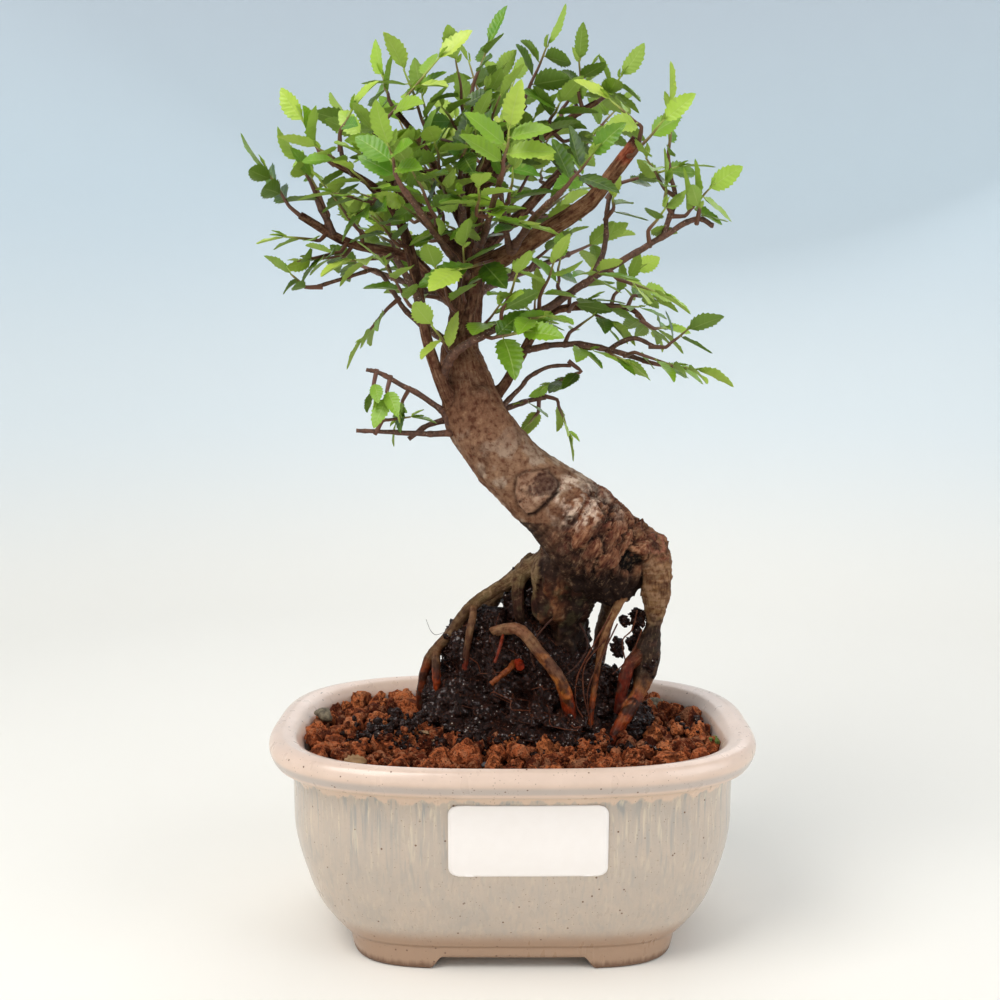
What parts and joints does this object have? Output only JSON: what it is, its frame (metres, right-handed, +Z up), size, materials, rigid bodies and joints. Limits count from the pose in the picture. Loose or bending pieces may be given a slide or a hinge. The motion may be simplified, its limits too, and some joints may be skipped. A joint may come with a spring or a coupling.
{
  "type": "chinese elm bonsai in a pot",
  "caption": "Small bonsai elm on raised roots, with a curved trunk and toothed leaves, growing in clay grains in a glazed oval pot with four corner feet.",
  "frame": {"origin": "under the middle of the whole plant and pot, on the surface that the pot's feet stand on", "axes": "+Z up, +X to the right as the front of the pot is looked at, +Y away from the viewer"},
  "size_m": [0.1304, 0.0988, 0.2403],
  "materials": {
    "glaze": "satin",
    "mesh": "matte",
    "clay_grains": "matte",
    "peat": "matte",
    "bark": "matte",
    "paper": "satin",
    "leaf": "satin"
  },
  "bodies": {
    "root": {"pot": "glaze", "drain_mesh": "mesh", "soil": "clay_grains", "peat": "peat", "tree_wood": "bark", "label": "paper", "spray_01": "leaf", "spray_02": "leaf", "spray_03": "leaf", "spray_04": "leaf", "spray_05": "leaf", "spray_06": "leaf", "spray_07": "leaf", "spray_08": "leaf", "spray_09": "leaf", "spray_10": "leaf", "spray_11": "leaf", "spray_12": "leaf", "spray_13": "leaf", "spray_14": "leaf", "spray_15": "leaf", "spray_16": "leaf", "spray_17": "leaf", "spray_18": "leaf", "spray_19": "leaf", "spray_20": "leaf", "spray_21": "leaf", "spray_22": "leaf", "spray_23": "leaf", "spray_24": "leaf", "spray_25": "leaf", "spray_26": "leaf", "spray_27": "leaf", "spray_28": "leaf", "spray_29": "leaf", "spray_30": "leaf", "spray_31": "leaf", "spray_32": "leaf", "spray_33": "leaf", "spray_34": "leaf", "spray_35": "leaf", "spray_36": "leaf", "spray_37": "leaf", "spray_38": "leaf", "spray_39": "leaf", "spray_40": "leaf", "spray_41": "leaf", "spray_42": "leaf", "spray_43": "leaf", "spray_44": "leaf", "spray_45": "leaf", "spray_46": "leaf", "spray_47": "leaf", "spray_48": "leaf", "spray_49": "leaf", "spray_50": "leaf", "spray_51": "leaf"}
  },
  "joints": []
}
